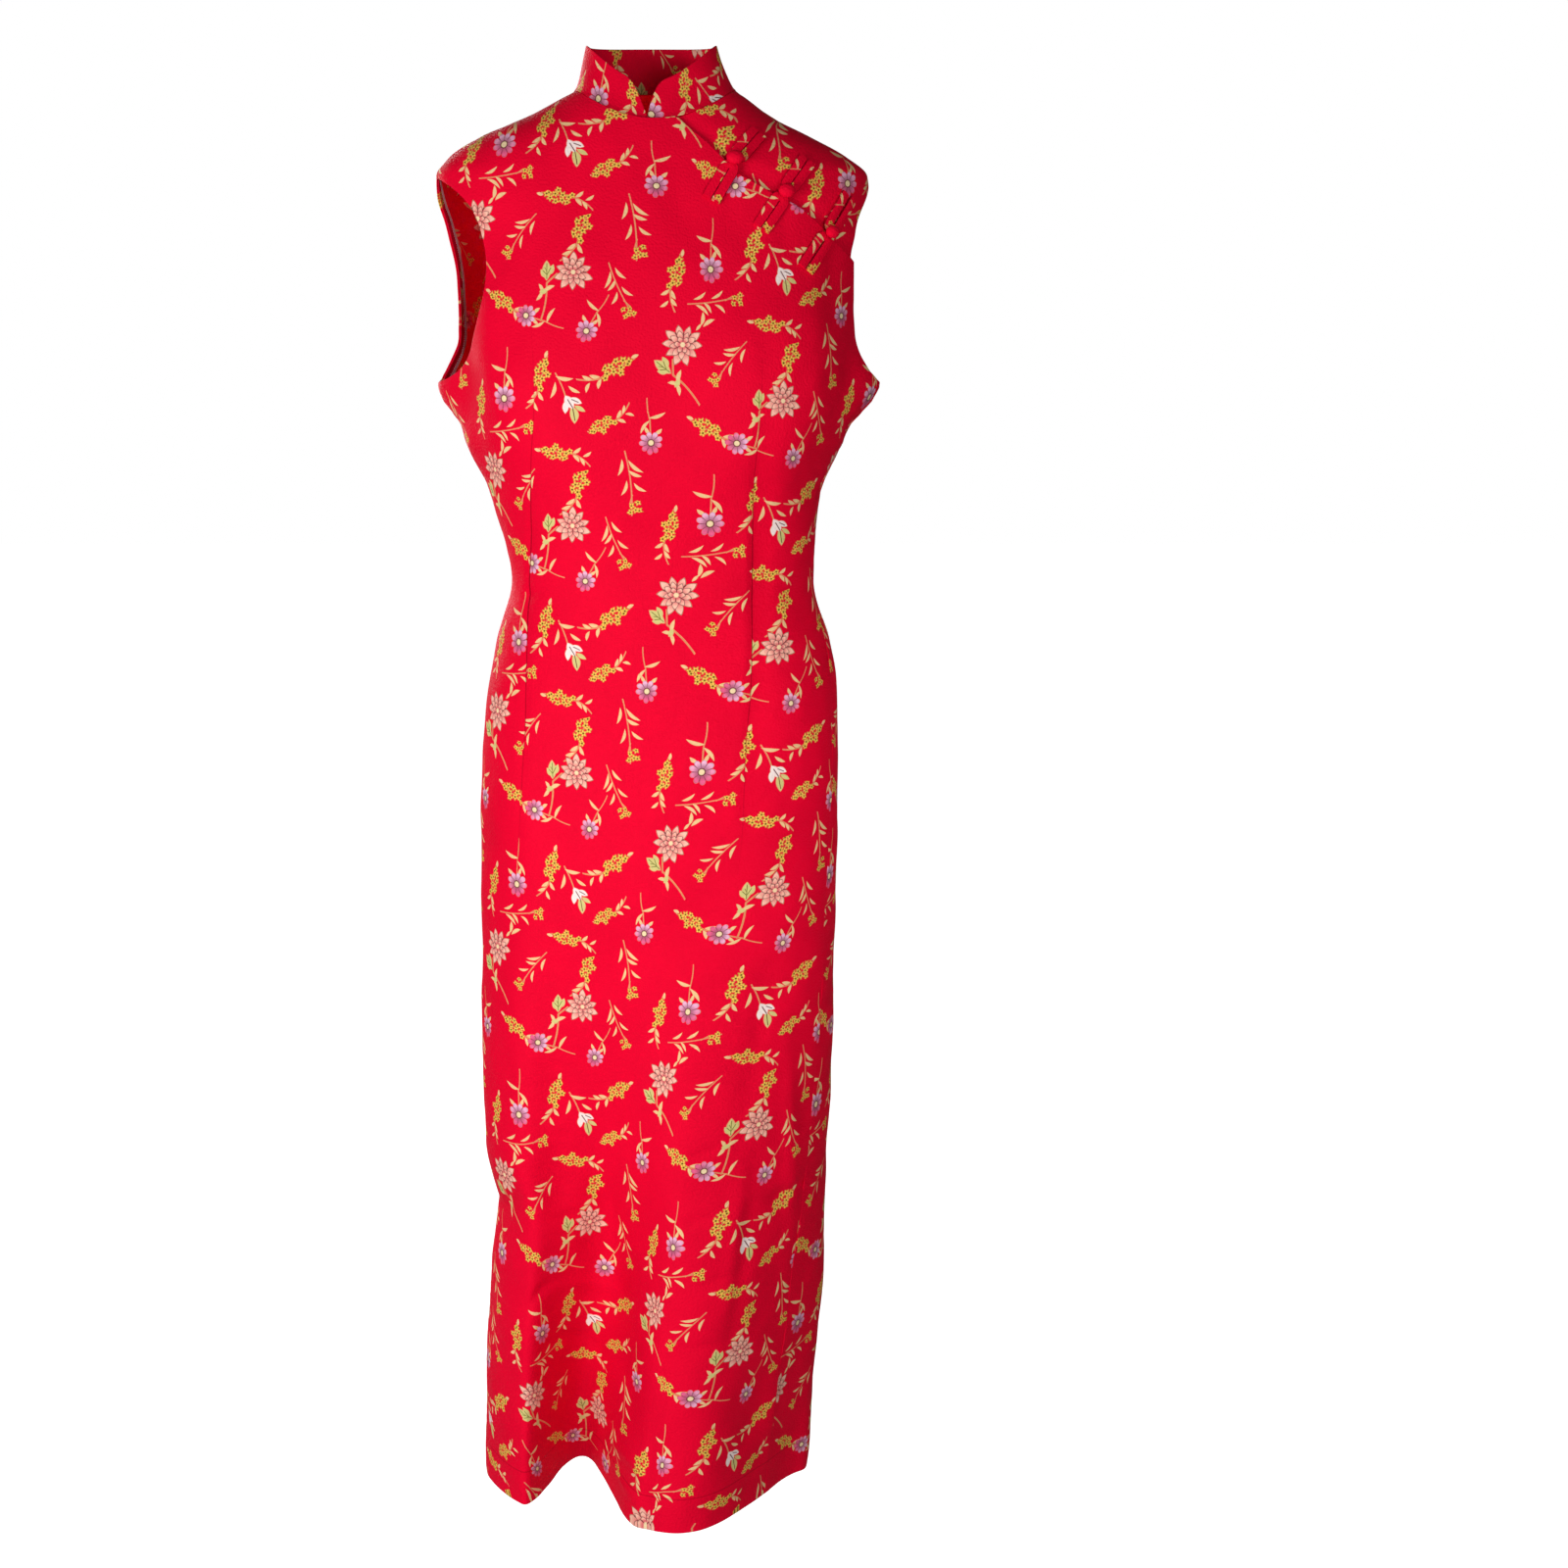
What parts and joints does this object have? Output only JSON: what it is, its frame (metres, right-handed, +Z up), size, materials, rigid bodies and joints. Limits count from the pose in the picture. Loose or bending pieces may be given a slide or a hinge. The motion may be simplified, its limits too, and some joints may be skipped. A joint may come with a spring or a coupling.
{
  "type": "cheongsam dress",
  "caption": "Long red sleeveless cheongsam with a standing collar, a slanting frog-fastened opening and a small floral print.",
  "frame": {"origin": "midway between the two points where the neckline meets the shoulder seams, where the wearer's shoulders carry the dress", "axes": "+Z up along the wearer, -Y out of the front, +X towards the side of the slanting opening"},
  "size_m": [0.4186, 0.2847, 1.414],
  "materials": {
    "printed_crepe": "satin",
    "plain_crepe": "satin",
    "crepe_inside": "matte"
  },
  "bodies": {
    "root": {"front_panel": "printed_crepe", "back_panel": "printed_crepe", "shoulder_piece": "printed_crepe", "collar": "printed_crepe", "armhole_turning_left": "crepe_inside", "armhole_turning_right": "crepe_inside", "frog_1_loop": "plain_crepe", "frog_1_tails": "plain_crepe", "frog_1_knot": "plain_crepe", "frog_2_loop": "plain_crepe", "frog_2_tails": "plain_crepe", "frog_2_knot": "plain_crepe", "frog_3_loop": "plain_crepe", "frog_3_tails": "plain_crepe", "frog_3_knot": "plain_crepe"}
  },
  "joints": []
}
